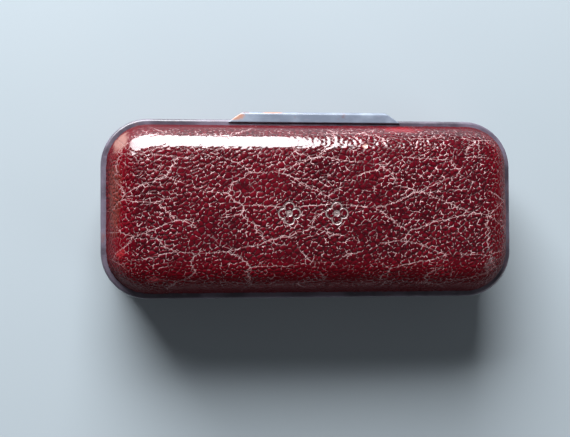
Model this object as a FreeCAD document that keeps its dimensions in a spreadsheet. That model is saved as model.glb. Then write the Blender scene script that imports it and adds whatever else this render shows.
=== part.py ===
"""Leather-covered jewellery case: a shallow wooden tray and a domed wooden lid, both covered in grained
leather, meeting at a pair of beaded rims. A knuckle hinge under a leather spine joins them at the back, and
a push button in the front wall frees the lid's hook. The base holds two velvet rolls with a slit between
them, and the lid a satin pad.

Frame: +X along the case, +Y towards the hinge, +Z up. The origin is the centre of the flat underside, which
rests on the table. Millimetres.
"""

import FreeCAD, Part
import math
import os

from FreeCAD import Placement, Rotation, Vector

doc = FreeCAD.newDocument("JewelleryCase")

# ---------------------------------------------------------------------------------------------------------
# Driving dimensions
# ---------------------------------------------------------------------------------------------------------

SIZES = (
    # the case as a whole
    ("case_length", 85.0, "length over the rims"),
    ("case_width", 36.5, "width over the rims, without the hinge"),
    ("corner_radius", 9.6, "outer corner radius of the rims in plan"),
    ("parting_height", 15.0, "height of the plane where lid and base meet"),
    ("parting_gap", 0.1, "gap between the closed rims"),
    ("rim_thickness", 1.3, "height of each beaded rim"),
    ("rim_overhang", 1.15, "how far a rim stands out past the leather beside it"),
    ("rim_bead_radius", 0.55, "rounding of the rims' outer edges"),
    ("leather_thickness", 0.7, "grained covering leather"),
    ("glue_line", 0.05, "paste between leather and wood"),
    # base tray
    ("base_wall", 3.2, "thickness of the tray's wooden wall"),
    ("tray_floor_top", 3.2, "height of the tray's inside floor"),
    ("foot_lift", 0.2, "leather's height above the table, on the bottom panel"),
    ("foot_radius", 2.4, "rounding where the base's sides turn under"),
    ("turn_in", 4.0, "leather turned in under the base"),
    ("lip_clearance", 0.05, "gap between the lip and the tray's wall"),
    ("lip_thickness", 1.0, "card lip that centres the closed lid"),
    ("lip_stand", 2.4, "how far the lip stands above the parting plane"),
    # lid dome
    ("dome_height", 8.8, "crown of the lid above its rim"),
    ("dome_lean", 15.0, "lean of the lid's sides from upright, degrees"),
    ("shoulder_radius", 6.4, "rounding of the lid's shoulder"),
    ("crown_across", 70.0, "radius of the crown across the case"),
    ("crown_along", 600.0, "radius of the crown along the case"),
    ("lid_wall", 2.0, "thickness of the hollowed wooden lid"),
    ("lining_thickness", 0.35, "satin-covered card round the inside of the lid"),
    # lid pad
    ("pad_setback", 1.85, "pad's edge inside the lining, measured at the rim"),
    ("pad_board_thickness", 0.6, "card that the satin is stretched over"),
    ("pad_board_height", 20.15, "height of the card's upper face"),
    ("pad_thickness", 1.7, "satin pad below its card, at its middle"),
    ("pad_edge_radius", 1.1, "rounding of the pad's edge"),
    ("satin_thickness", 0.3, "satin and its backing"),
    # velvet rolls
    ("bed_board_thickness", 1.0, "card under the velvet rolls"),
    ("roll_top", 12.7, "height of the rolls' crown"),
    ("roll_slit", 0.4, "gap between the two rolls"),
    ("roll_gap", 0.15, "gap between the rolls and the lip"),
    ("roll_crown_radius", 8.0, "cross rounding of a roll"),
    ("roll_edge_radius", 2.2, "rounding of a roll's ends"),
    ("velvet_thickness", 1.2, "velvet and its wadding over a roll's core"),
    # hinge
    ("hinge_length", 29.0, "length of the hinge barrel"),
    ("knuckle_count", 7, "knuckles along the barrel"),
    ("knuckle_gap", 0.06, "end gap between two knuckles"),
    ("knuckle_radius", 0.65, "outer radius of a knuckle"),
    ("pin_radius", 0.3, "hinge pin"),
    ("pin_clearance", 0.03, "radial clearance of the hinge pin"),
    ("hinge_offset", 0.55, "hinge axis behind the rims' back edge"),
    ("leaf_thickness", 0.35, "brass leaf"),
    ("leaf_depth", 4.4, "leaf in front of the hinge axis"),
    ("brad_setback", 3.5, "hinge brads in front of the hinge axis"),
    ("knuckle_clearance", 0.1, "gap round the other leaf's knuckles"),
    ("brad_radius", 0.3, "hinge brads"),
    ("brad_length", 2.4, "hinge brads"),
    ("hinge_shift", 1.15, "middle of the hinge, to the right of the case's middle"),
    ("pin_proud", 0.2, "hinge pin past the barrel at each end"),
    ("barrel_end_gap", 0.4, "room in the rims past each end of the barrel"),
    ("spine_length", 36.0, "leather spine along its front edge, on the rims"),
    ("spine_taper", 3.2, "how far each end of the spine slants in"),
    ("spine_lap", 0.6, "how far the spine lies onto the rims' faces"),
    ("spine_bevel", 0.4, "bevel of the spine's two back edges"),
    ("spine_reach", 1.6, "how far the spine stands out behind the rims"),
    ("spine_thickness", 0.35, "leather spine over the hinge"),
    # lock
    ("lock_axis", 10.4, "height of the push button's axis"),
    ("lock_back", 0.05, "gap behind the lock case, to the tray's inside"),
    ("lock_depth", 2.45, "lock case, front to back"),
    ("lock_length", 10.0, "lock case along the wall"),
    ("lock_wall", 0.25, "sheet brass of the lock case"),
    ("lock_bottom", 8.4, "underside of the lock case"),
    ("plate_length", 15.0, "lock plate and strike plate"),
    ("plate_setback", 1.6, "lock plate and strike plate behind the rims' front edge"),
    ("plate_margin", 0.1, "rim left behind the strike plate"),
    ("plate_thickness", 0.45, "lock plate and strike plate"),
    ("hook_thickness", 0.45, "hook, front to back"),
    ("hook_width", 4.4, "hook along the case"),
    ("hook_drop", 2.9, "hook below the lock plate's top"),
    ("hook_front_gap", 0.25, "gap in front of the hook inside the lock case"),
    ("hook_side_gap", 0.35, "gap round the hook in the lock plate"),
    ("hook_window", 1.9, "width of the hook's window"),
    ("hook_window_foot", 0.7, "window's lower edge above the hook's tip"),
    ("hook_window_height", 0.9, "height of the hook's window"),
    ("hook_head", 0.15, "peened head of the hook: its height, and how far it stands out"),
    ("bolt_thickness", 0.4, "bolt plate"),
    ("bolt_width", 3.6, "bolt plate along the case"),
    ("bolt_gap", 0.3, "gap between hook and bolt plate"),
    ("nose_clearance", 0.14, "gap left between the bolt's nose and the hook"),
    ("nose_play", 0.15, "bolt's nose inside the hook's window, on each side"),
    ("bolt_rise", 2.0, "bolt plate's top above the hook's tip"),
    ("bolt_foot_gap", 0.15, "gap under the bolt plate inside the lock case"),
    ("button_travel", 0.4, "how far the button goes in"),
    ("button_radius", 1.8, "push button"),
    ("button_stand", 1.0, "button proud of the leather"),
    ("button_sink", 0.25, "button behind the leather's face"),
    ("stem_radius", 0.8, "button stem"),
    ("stem_clearance", 0.06, "radial gap round the stem and the button"),
    ("collar_radius", 2.7, "brass collar round the button"),
    ("collar_stand", 0.35, "collar proud of the leather"),
    ("spring_thickness", 0.12, "bowed leaf spring behind the bolt"),
    ("spring_length", 6.4, "bowed leaf spring along the case"),
    ("spring_height", 2.0, "bowed leaf spring, up and down"),
    ("plate_pin_radius", 0.35, "pins of the lock and strike plates"),
    ("plate_pin_length", 2.6, "pins of the lock and strike plates"),
    ("plate_pin_spacing", 12.4, "between the two pins of a plate"),
    ("plate_pin_offset", 0.2, "pins behind the middle of their plate"),
    ("mortise_gap", 0.05, "gap between the lock case and its mortise"),
    ("stem_hole_gap", 0.15, "radial gap round the stem in the wood"),
    ("sleeve_wall", 0.25, "brass sleeve of the collar, through the leather"),
    ("spring_gap", 0.02, "gap at the spring's ends and its middle"),
)

sheet = doc.addObject("Spreadsheet::Sheet", "Sizes")
for row, (alias, number, meaning) in enumerate(SIZES, start=1):
    sheet.set(f"A{row}", meaning)
    sheet.set(f"B{row}", str(number))
    sheet.setAlias(f"B{row}", alias)
doc.recompute()

ALIASES = sorted((entry[0] for entry in SIZES), key=len, reverse=True)


def bound(formula):
    """The formula with each driving dimension's name written as a cell of the sheet."""
    words = formula.replace("(", " ( ").replace(")", " ) ").split()
    return " ".join(f"Sizes.{word}" if word in ALIASES else word for word in words)


def value(formula):
    """What a formula of driving dimensions comes to."""
    result = sheet.evalExpression(bound(formula))
    return float(getattr(result, "Value", result))


def bind(item, **formulas):
    """Binds properties of a document object; an underscore pair in a name stands for a dot."""
    for name, formula in formulas.items():
        item.setExpression(name.replace("__", "."), bound(formula))
    return item


# Heights and insets that several pieces share, as formulas of the sheet's cells.
BASE_RIM_TOP = "( parting_height - parting_gap / 2 )"
BASE_RIM_BOTTOM = f"( {BASE_RIM_TOP} - rim_thickness )"
LID_RIM_BOTTOM = "( parting_height + parting_gap / 2 )"
LID_RIM_TOP = f"( {LID_RIM_BOTTOM} + rim_thickness )"
LEATHER_INSET = "rim_overhang"
SKIN_INSET = "( rim_overhang + leather_thickness )"
WOOD_INSET = f"( {SKIN_INSET} + glue_line )"
TRAY_INSET = f"( {WOOD_INSET} + base_wall )"
LIP_INSET = f"( {TRAY_INSET} + lip_clearance )"
BED_INSET = f"( {LIP_INSET} + lip_thickness + roll_gap )"
LINING_DEPTH = "( leather_thickness + glue_line + lid_wall )"
PAD_INSET = f"( rim_overhang + {LINING_DEPTH} + lining_thickness + pad_setback )"
HINGE_Y = "( case_width / 2 + hinge_offset )"
HINGE_LEFT = "( hinge_shift - hinge_length / 2 )"
HINGE_RIGHT = "( hinge_shift + hinge_length / 2 )"
FRONT_Y = "( 0 - case_width / 2 )"
LOCK_BACK_Y = f"( {FRONT_Y} + {TRAY_INSET} - lock_back )"
LOCK_FRONT_Y = f"( {LOCK_BACK_Y} - lock_depth )"
HOOK_FRONT_Y = f"( {LOCK_FRONT_Y} + lock_wall + hook_front_gap )"
HOOK_BACK_Y = f"( {HOOK_FRONT_Y} + hook_thickness )"
BOLT_FRONT_Y = f"( {HOOK_BACK_Y} + bolt_gap )"
BOLT_BACK_Y = f"( {BOLT_FRONT_Y} + bolt_thickness )"
LEATHER_FRONT_Y = f"( {FRONT_Y} + rim_overhang )"
PLATE_FRONT_Y = f"( {FRONT_Y} + plate_setback )"
LID_OPENING_INSET = f"( rim_overhang + {LINING_DEPTH} )"
STRIKE_BACK_Y = f"( {FRONT_Y} + {LID_OPENING_INSET} - plate_margin )"
PLATE_PIN_Y = f"( ( {PLATE_FRONT_Y} + {STRIKE_BACK_Y} ) / 2 + plate_pin_offset )"

nodes = {}  # node name -> document object whose shape is written


# ---------------------------------------------------------------------------------------------------------
# Building blocks. A cutting form runs 1 mm past what it cuts.
# ---------------------------------------------------------------------------------------------------------


def origin_plane(body, role):
    return next(plane for plane in body.Origin.OriginFeatures if plane.Role == role)


def rounded_rectangle(body, name, inset, height):
    """A sketch of the rims' outline moved in by an inset, lying flat at a height."""
    sketch = body.newObject("Sketcher::SketchObject", name)
    sketch.AttachmentSupport = (origin_plane(body, "XY_Plane"), [""])
    sketch.MapMode = "FlatFace"
    bind(sketch, AttachmentOffset__Base__z=height)
    length, width = f"case_length - 2 * {inset}", f"case_width - 2 * {inset}"
    radius = f"corner_radius - {inset}"
    x, y, r = value(length) / 2, value(width) / 2, value(radius)
    corners = ((x - r, y - r, 0), (r - x, y - r, 90), (r - x, r - y, 180), (x - r, r - y, 270))
    arcs, lines = [], []
    for cx, cy, start in corners:
        circle = Part.Circle(Vector(cx, cy, 0), Vector(0, 0, 1), r)
        first, last = math.radians(start), math.radians(start + 90)
        arcs.append(sketch.addGeometry(Part.ArcOfCircle(circle, first, last), False))
    for index in range(4):
        start = sketch.getPoint(arcs[index], 2)
        end = sketch.getPoint(arcs[(index + 1) % 4], 1)
        lines.append(sketch.addGeometry(Part.LineSegment(start, end), False))
    fix = lambda *what: sketch.addConstraint(Sketcher.Constraint(*what))
    for index in range(4):
        fix("Tangent", arcs[index], 2, lines[index], 1)
        fix("Tangent", lines[index], 2, arcs[(index + 1) % 4], 1)
        fix("Horizontal" if index % 2 == 0 else "Vertical", lines[index])
    for index in range(1, 4):
        fix("Equal", arcs[0], arcs[index])
    fix("Symmetric", lines[0], 1, lines[2], 1, -1, 1)
    named = {
        "radius": (fix("Radius", arcs[0], r), radius),
        "length": (fix("DistanceX", lines[1], 1, lines[3], 1, 2 * x), length),
        "width": (fix("DistanceY", lines[2], 1, lines[0], 1, 2 * y), width),
    }
    for label, (index, formula) in named.items():
        sketch.renameConstraint(index, label)
        sketch.setExpression(f"Constraints.{label}", bound(formula))
    return sketch


def slab(name, inset, bottom, top, lean=None):
    """A body with one pad of the rims' outline, moved in by an inset, from one height to another."""
    body = doc.addObject("PartDesign::Body", name)
    sketch = rounded_rectangle(body, name + "_outline", inset, bottom)
    pad = body.newObject("PartDesign::Pad", name + "_pad")
    pad.Profile = (sketch, [""])
    bind(pad, Length=f"{top} - {bottom}")
    if lean:
        bind(pad, TaperAngle=f"0 - {lean}")
    doc.recompute()
    return body


def edges_of(item, wanted):
    """Names of the edges of an object's shape that a test of the edge picks out."""
    return [f"Edge{n}" for n, edge in enumerate(item.Shape.Edges, start=1) if wanted(edge)]


def middle(edge):
    return edge.valueAt((edge.FirstParameter + edge.LastParameter) / 2)


def round_edges(body, name, radius, wanted):
    """A PartDesign fillet on some edges of a body's last feature."""
    tip = body.Tip
    fillet = body.newObject("PartDesign::Fillet", name)
    fillet.Base = (tip, edges_of(tip, wanted))
    bind(fillet, Radius=radius)
    doc.recompute()
    return body


def at_height(height):
    level = value(height)
    return lambda edge: abs(middle(edge).z - level) < 1e-3 and edge.BoundBox.ZLength < 1e-3


def block(name, x, y, z):
    """A box between two formulas along each axis."""
    box = doc.addObject("Part::Box", name)
    bind(box, Length=f"{x[1]} - {x[0]}", Width=f"{y[1]} - {y[0]}", Height=f"{z[1]} - {z[0]}")
    bind(box, Placement__Base__x=x[0], Placement__Base__y=y[0], Placement__Base__z=z[0])
    return box


def centred(length):
    return f"( 0 - {length} / 2 )", f"( {length} / 2 )"


def rod(name, radius, length, start, rotation):
    """A cylinder of a radius and length from a point, turned to run along an axis."""
    cylinder = doc.addObject("Part::Cylinder", name)
    cylinder.Placement = Placement(Vector(), rotation)
    bind(cylinder, Radius=radius, Height=length)
    bind(cylinder, Placement__Base__x=start[0], Placement__Base__y=start[1], Placement__Base__z=start[2])
    return cylinder


ALONG_X = Rotation(Vector(0, 1, 0), 90)
ALONG_Y = Rotation(Vector(1, 0, 0), -90)
UPRIGHT = Rotation()


def fuse(name, *items):
    joined = doc.addObject("Part::MultiFuse", name)
    joined.Shapes = list(items)
    return joined


def gather(name, *items):
    """Separate solids kept as one group."""
    group = doc.addObject("Part::Compound", name)
    group.Links = list(items)
    return group


def cut(name, base, *tools):
    """The base with each tool taken away in turn."""
    for index, tool in enumerate(tools):
        last = index == len(tools) - 1
        piece = doc.addObject("Part::Cut", name if last else f"{name}_cut_{index + 1}")
        piece.Base, piece.Tool = base, tool
        base = piece
    doc.recompute()
    return base


def common(name, *items):
    shared = doc.addObject("Part::MultiCommon", name)
    shared.Shapes = list(items)
    doc.recompute()
    return shared


def rounded(name, base, radius, wanted):
    """A Part fillet of one radius on some edges."""
    fillet = doc.addObject("Part::Fillet", name)
    fillet.Base = base
    r = value(radius)
    chosen = edges_of(base, wanted)
    fillet.Edges = [(int(edge[4:]), r, r) for edge in chosen]
    doc.recompute()
    return fillet


def node(name, item):
    """Names an object as a sub-part of the case."""
    item.Label = name
    nodes[name] = item
    return item


# ---------------------------------------------------------------------------------------------------------
# Lid: dome, leather, lining and pad
# ---------------------------------------------------------------------------------------------------------


def dome(name, depth):
    """The lid's domed form a depth below its outer surface, standing on the lid rim's top."""
    inset = f"( rim_overhang + {depth} )"
    blank = slab(name + "_blank", inset, LID_RIM_TOP, f"( {LID_RIM_TOP} + dome_height + 1 )", "dome_lean")
    crown = doc.addObject("Part::Torus", name + "_crown")
    crown.Placement = Placement(Vector(), ALONG_Y)
    bind(crown, Radius1="crown_along - crown_across", Radius2=f"crown_across - {depth}")
    bind(crown, Placement__Base__z=f"{LID_RIM_TOP} + dome_height - crown_along")
    crowned = common(name + "_crowned", blank, crown)
    foot = value(LID_RIM_TOP)
    top_edge = lambda edge: edge.BoundBox.ZMin > foot + 1.0
    return rounded(name, crowned, f"shoulder_radius - {depth}", top_edge)


def lid_pieces():
    outer = dome("leather_form", "0")
    under_leather = dome("leather_inside", "leather_thickness")
    wood = dome("wood_form", "( leather_thickness + glue_line )")
    hollow = dome("hollow_form", LINING_DEPTH)
    lining = dome("lining_inside", f"( {LINING_DEPTH} + lining_thickness )")
    node("lid_leather", cut("lid_leather", outer, under_leather))
    lid_wood = cut("lid_wood", wood, hollow)

    rim = slab("lid_rim_blank", "0", LID_RIM_BOTTOM, LID_RIM_TOP)
    outside = lambda edge: edge.BoundBox.ZLength < 1e-3
    round_edges(rim, "lid_rim_bead", "rim_bead_radius", outside)
    opening = slab("lid_opening", LID_OPENING_INSET, f"( {LID_RIM_BOTTOM} - 1 )", f"( {LID_RIM_TOP} + 1 )")
    lid_rim_ring = cut("lid_rim_ring", rim, opening)

    # The lining strip runs from the rim's underside up the hollow to the pad's card.
    skirt = slab("lining_skirt", LID_OPENING_INSET, LID_RIM_BOTTOM, LID_RIM_TOP)
    skirt_hole_inset = f"( {LID_OPENING_INSET} + lining_thickness )"
    skirt_hole = slab("lining_skirt_hole", skirt_hole_inset, LID_RIM_BOTTOM, LID_RIM_TOP)
    upper = cut("lining_upper", hollow, lining)
    lower = cut("lining_lower", skirt, skirt_hole)
    strip_top = "( pad_board_height - pad_board_thickness )"
    trim_heights = (strip_top, f"( {LID_RIM_TOP} + dome_height )")
    trim = block("lining_trim", centred("case_length"), centred("case_width"), trim_heights)
    node("lid_lining_strip", cut("lid_lining_strip", fuse("lining_whole", upper, lower), trim))

    # The card is cut to the hollow at its own height, and the pad hangs below it.
    card_bottom = "( pad_board_height - pad_board_thickness )"
    node("lid_pad_board", slab("lid_pad_board", PAD_INSET, card_bottom, "pad_board_height"))
    pad_bottom = f"( {card_bottom} - pad_thickness )"
    pad = slab("satin_form", PAD_INSET, pad_bottom, card_bottom)
    round_edges(pad, "satin_form_edge", "pad_edge_radius", at_height(pad_bottom))
    filling = slab(
        "wadding_form",
        f"( {PAD_INSET} + satin_thickness )",
        f"( {pad_bottom} + satin_thickness )",
        card_bottom,
    )
    inner_edge = at_height(f"{pad_bottom} + satin_thickness")
    round_edges(filling, "wadding_edge", "pad_edge_radius - satin_thickness", inner_edge)
    node("satin_cover", cut("satin_cover", pad, filling))
    node("lid_wadding", filling)
    return lid_wood, lid_rim_ring


# ---------------------------------------------------------------------------------------------------------
# Base: tray, leather, lip and velvet rolls
# ---------------------------------------------------------------------------------------------------------


def base_pieces():
    outer = slab("base_leather_form", LEATHER_INSET, "foot_lift", BASE_RIM_BOTTOM)
    round_edges(outer, "base_leather_foot", "foot_radius", at_height("foot_lift"))
    skin_top = "( foot_lift + leather_thickness )"
    inner = slab("base_leather_inside", SKIN_INSET, skin_top, BASE_RIM_BOTTOM)
    round_edges(inner, "base_leather_inside_foot", "foot_radius - leather_thickness", at_height(skin_top))
    window_inset = "( rim_overhang + turn_in )"
    window = slab("turn_in_window", window_inset, "0", f"( {skin_top} + 1 )")
    skin = cut("base_skin", outer, inner, window)

    node("bottom_panel", slab("bottom_panel", f"( {window_inset} + glue_line )", "0", skin_top))

    wood_bottom = f"( {skin_top} + glue_line )"
    wood = slab("base_wood_form", WOOD_INSET, wood_bottom, BASE_RIM_BOTTOM)
    wood_radius = "foot_radius - leather_thickness - glue_line"
    round_edges(wood, "base_wood_foot", wood_radius, at_height(wood_bottom))
    hollow = slab("tray_hollow", TRAY_INSET, "tray_floor_top", f"( {BASE_RIM_TOP} + 1 )")
    tray = cut("tray", wood, hollow)

    rim = slab("base_rim_blank", "0", BASE_RIM_BOTTOM, BASE_RIM_TOP)
    round_edges(rim, "base_rim_bead", "rim_bead_radius", lambda edge: edge.BoundBox.ZLength < 1e-3)
    base_rim_ring = cut("base_rim_ring", rim, hollow)

    lip_top = "( parting_height + lip_stand )"
    lip = slab("lip_form", LIP_INSET, "tray_floor_top", lip_top)
    round_edges(lip, "lip_edge", "lip_thickness / 3", at_height(lip_top))
    lip_hole = slab("lip_hole", f"( {LIP_INSET} + lip_thickness )", "tray_floor_top", f"( {lip_top} + 1 )")
    node("locating_lip", cut("locating_lip", lip, lip_hole))

    bed_top = "( tray_floor_top + bed_board_thickness )"
    node("bed_board", slab("bed_board", BED_INSET, "tray_floor_top", bed_top))
    velvet_rolls(bed_top)
    return skin, tray, base_rim_ring


def roll_form(name, side, depth, bottom):
    """One roll's outer form, or its core at a depth under the velvet. side is 1 at the back, -1 in front."""
    outline_top = f"( roll_top + 1 - {depth} )"
    outline = slab(name + "_outline_form", f"( {BED_INSET} + {depth} )", bottom, outline_top)
    near = f"( roll_slit / 2 + {depth} )"
    far = "( case_width / 2 )"
    y_range = (near, far) if side > 0 else (f"( 0 - {far} )", f"( 0 - {near} )")
    half = block(name + "_half", centred("case_length"), y_range, (bottom, "( roll_top + 2 )"))
    barrel_y = f"( ( case_width / 2 - {BED_INSET} + roll_slit / 2 ) / 2 )"
    barrel = rod(
        name + "_crown",
        f"roll_crown_radius - {depth}",
        "case_length",
        ("0 - case_length / 2", barrel_y if side > 0 else f"0 - {barrel_y}", "roll_top - roll_crown_radius"),
        ALONG_X,
    )
    # below the crown's centre the roll drops straight to the card
    column = block(
        name + "_column",
        centred("case_length"),
        centred("case_width"),
        (bottom, "( roll_top - roll_crown_radius )"),
    )
    section = fuse(name + "_section", barrel, column)
    body = common(name + "_crowned", outline, half, section)
    level = value("roll_top") - value(depth) - 5.0
    ends = value(f"case_length / 2 - {BED_INSET} - {depth}")
    on_end = lambda edge: abs(abs(middle(edge).x) - ends) < 1e-3 and middle(edge).z > level
    return rounded(name, body, f"roll_edge_radius - {depth}", on_end)


def velvet_rolls(bed_top):
    for side, place in ((-1, "front"), (1, "back")):
        outer = roll_form(f"roll_{place}", side, "0", bed_top)
        core = roll_form(f"core_{place}", side, "velvet_thickness", bed_top)
        node(f"velvet_roll_{place}", cut(f"velvet_roll_{place}", outer, core))
        node(f"roll_core_{place}", core)


# ---------------------------------------------------------------------------------------------------------
# Hinge
# ---------------------------------------------------------------------------------------------------------


def hinge_leaf(name, side, mine):
    """A brass leaf with its share of the knuckles. side is 1 on the lid, -1 on the base."""
    pitch = "( hinge_length / knuckle_count )"
    low = "( parting_height + knuckle_radius - leaf_thickness )"
    high = "( parting_height + knuckle_radius )"
    if side < 0:
        low = "( parting_height - knuckle_radius )"
        high = "( parting_height - knuckle_radius + leaf_thickness )"
    front = f"( {HINGE_Y} - leaf_depth )"
    clear = f"( {HINGE_Y} - knuckle_radius - knuckle_clearance )"
    pieces = [block(f"{name}_plate", (HINGE_LEFT, HINGE_RIGHT), (front, clear), (low, high))]
    for index in range(int(value("knuckle_count"))):
        if index % 2 != mine:
            continue
        left = f"( {HINGE_LEFT} + {index} * {pitch} + knuckle_gap / 2 )"
        right = f"( {left} + {pitch} - knuckle_gap )"
        pieces.append(block(f"{name}_strap_{index}", (left, right), (clear, HINGE_Y), (low, high)))
        length = f"{pitch} - knuckle_gap"
        start = (left, HINGE_Y, "parting_height")
        pieces.append(rod(f"{name}_knuckle_{index}", "knuckle_radius", length, start, ALONG_X))
    start = (f"{HINGE_LEFT} - 1", HINGE_Y, "parting_height")
    bore = rod(f"{name}_bore", "pin_radius + pin_clearance", "hinge_length + 2", start, ALONG_X)
    return cut(f"{name}_bored", fuse(f"{name}_joined", *pieces), bore)


# Places of the brads, as shares of the hinge's length from its middle.
BRAD_SHARES = (-0.42, -0.15, 0.15, 0.42)


def hinge_brads(name, side):
    """Four brads that hold a leaf, driven from the parting face into the rim and the wood."""
    face = LID_RIM_BOTTOM if side > 0 else f"( {BASE_RIM_TOP} - brad_length )"
    brad_y = f"{HINGE_Y} - brad_setback"
    brads = []
    for index, share in enumerate(BRAD_SHARES, start=1):
        start = (f"hinge_shift + hinge_length * {share}", brad_y, face)
        brads.append(rod(f"{name}_{index}", "brad_radius", "brad_length", start, UPRIGHT))
    return gather(name, *brads)


def spine_section(reach, half_height, front, bevel):
    """The closed section of a block behind the rims, its two back edges bevelled, in the YZ plane."""
    back = value(f"case_width / 2 + {reach}")
    low, high = value(f"parting_height - {half_height}"), value(f"parting_height + {half_height}")
    corners = [
        Vector(0, front, low),
        Vector(0, back - bevel, low),
        Vector(0, back, low + bevel),
        Vector(0, back, high - bevel),
        Vector(0, back - bevel, high),
        Vector(0, front, high),
    ]
    return Part.Face(Part.makePolygon([*corners, corners[0]]))


def hinge_spine():
    """The leather spine over the barrel: a channel open towards the case, with slanted ends."""
    rims = "( parting_gap / 2 + rim_thickness )"
    front = value("case_width / 2 - spine_lap")
    back = value("case_width / 2 + spine_reach")
    bevel, thickness = value("spine_bevel"), value("spine_thickness")
    middle_x, half = value("hinge_shift"), value("spine_length / 2")
    outer = spine_section("spine_reach", f"( {rims} + spine_thickness )", front, bevel)
    inner = spine_section("( spine_reach - spine_thickness )", rims, front - 1, bevel - thickness / 2)
    shape = outer.extrude(Vector(2 * half, 0, 0))
    shape.translate(Vector(middle_x - half, 0, 0))
    channel = inner.extrude(Vector(2 * half + 2, 0, 0))
    channel.translate(Vector(middle_x - half - 1, 0, 0))
    shape = shape.cut(channel)
    low = value(f"parting_height - {rims} - spine_thickness") - 1
    high = value(f"parting_height + {rims} + spine_thickness") + 1
    for side in (-1, 1):
        root_x = middle_x + side * half
        tip_x = root_x - side * value("spine_taper")
        corners = [
            Vector(root_x, front, low),
            Vector(tip_x, back, low),
            Vector(tip_x, back + 1, low),
            Vector(root_x + side, back + 1, low),
            Vector(root_x + side, front, low),
        ]
        wedge = Part.Face(Part.makePolygon([*corners, corners[0]])).extrude(Vector(0, 0, high - low))
        shape = shape.cut(wedge)
    spine = doc.addObject("Part::Feature", "hinge_spine")
    spine.Shape = shape
    return spine


# ---------------------------------------------------------------------------------------------------------
# Lock: case, plate, hook, bolt, spring and button
# ---------------------------------------------------------------------------------------------------------


def lock_case_piece():
    outer = block(
        "lock_case_form",
        centred("lock_length"),
        (LOCK_FRONT_Y, LOCK_BACK_Y),
        ("lock_bottom", f"( {BASE_RIM_TOP} - plate_thickness )"),
    )
    inner = block(
        "lock_case_inside",
        centred("( lock_length - 2 * lock_wall )"),
        (f"( {LOCK_FRONT_Y} + lock_wall )", f"( {LOCK_BACK_Y} - lock_wall )"),
        ("( lock_bottom + lock_wall )", "( parting_height + 1 )"),
    )
    start = ("0", f"{LOCK_FRONT_Y} - 1", "lock_axis")
    hole = rod("lock_case_stem_hole", "stem_radius + stem_clearance", "2", start, ALONG_Y)
    return cut("lock_case", outer, inner, hole)


def mortise():
    """The room for the lock case in the tray's front wall and rim, open to the tray's inside."""
    return block(
        "lock_mortise",
        centred("( lock_length + 2 * mortise_gap )"),
        (f"( {LOCK_FRONT_Y} - mortise_gap )", f"( {LOCK_BACK_Y} + 1 )"),
        ("( lock_bottom - mortise_gap )", "( parting_height + 1 )"),
    )


def plate(name, back, low, high):
    """A brass plate let into a rim's parting face, round the hook."""
    return block(name, centred("plate_length"), (PLATE_FRONT_Y, back), (low, high))


def hook_slot(name, gap):
    return block(
        name,
        centred(f"( hook_width + 2 * {gap} )"),
        (f"( {HOOK_FRONT_Y} - {gap} )", f"( {HOOK_BACK_Y} + {gap} )"),
        ("( parting_height - 3 )", "( parting_height + 3 )"),
    )


def plate_pins(name, bottom):
    left_start = ("0 - plate_pin_spacing / 2", PLATE_PIN_Y, bottom)
    right_start = ("plate_pin_spacing / 2", PLATE_PIN_Y, bottom)
    left = rod(f"{name}_left", "plate_pin_radius", "plate_pin_length", left_start, UPRIGHT)
    right = rod(f"{name}_right", "plate_pin_radius", "plate_pin_length", right_start, UPRIGHT)
    return gather(name, left, right)


def hook_piece():
    """The hook: a brass tongue with a window, its head peened over the strike plate."""
    bottom = f"( {BASE_RIM_TOP} - hook_drop )"
    plate_top = f"( {LID_RIM_BOTTOM} + plate_thickness )"
    tongue = block("hook_tongue", centred("hook_width"), (HOOK_FRONT_Y, HOOK_BACK_Y), (bottom, plate_top))
    head = block(
        "hook_head_form",
        centred("( hook_width + 2 * hook_head )"),
        (f"( {HOOK_FRONT_Y} - hook_head )", f"( {HOOK_BACK_Y} + hook_head )"),
        (plate_top, f"( {plate_top} + hook_head )"),
    )
    window_foot = f"( {bottom} + hook_window_foot )"
    window = block(
        "hook_window_form",
        centred("hook_window"),
        (f"( {HOOK_FRONT_Y} - 1 )", f"( {HOOK_BACK_Y} + 1 )"),
        (window_foot, f"( {window_foot} + hook_window_height )"),
    )
    whole = cut("hook_open", fuse("hook_whole", tongue, head), window)
    low = value(bottom)
    corner = lambda edge: abs(edge.BoundBox.ZMax - low) < 1e-3 and edge.BoundBox.XLength < 1e-3
    return rounded("strike_hook", whole, "hook_thickness * 1.6", corner)


def bolt_piece():
    """The bolt plate behind the hook, with the nose that faces the hook's window."""
    bottom = f"( {BASE_RIM_TOP} - hook_drop )"
    body = block(
        "bolt_plate",
        centred("bolt_width"),
        (BOLT_FRONT_Y, BOLT_BACK_Y),
        ("( lock_bottom + lock_wall + bolt_foot_gap )", f"( {bottom} + bolt_rise )"),
    )
    window_foot = f"( {bottom} + hook_window_foot )"
    nose = block(
        "bolt_nose",
        centred("( hook_window - 2 * nose_play )"),
        (f"( {HOOK_BACK_Y} + nose_clearance )", BOLT_FRONT_Y),
        (f"( {window_foot} + nose_play )", f"( {window_foot} + hook_window_height - nose_play )"),
    )
    return fuse("lock_bolt", body, nose)


def button_piece():
    face_y = f"( {LEATHER_FRONT_Y} - button_stand )"
    cap_back_y = f"( {LEATHER_FRONT_Y} + button_sink )"
    cap = rod(
        "button_cap", "button_radius", f"{cap_back_y} - {face_y}", ("0", face_y, "lock_axis"), ALONG_Y
    )
    doc.recompute()
    front = value(face_y)
    rim = lambda edge: abs(edge.BoundBox.YMax - front) < 1e-3
    domed = rounded("button_cap_domed", cap, "button_stand * 0.55", rim)
    stem_length = f"{BOLT_FRONT_Y} - {cap_back_y}"
    stem = rod("button_stem", "stem_radius", stem_length, ("0", cap_back_y, "lock_axis"), ALONG_Y)
    return fuse("push_button", domed, stem)


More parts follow.
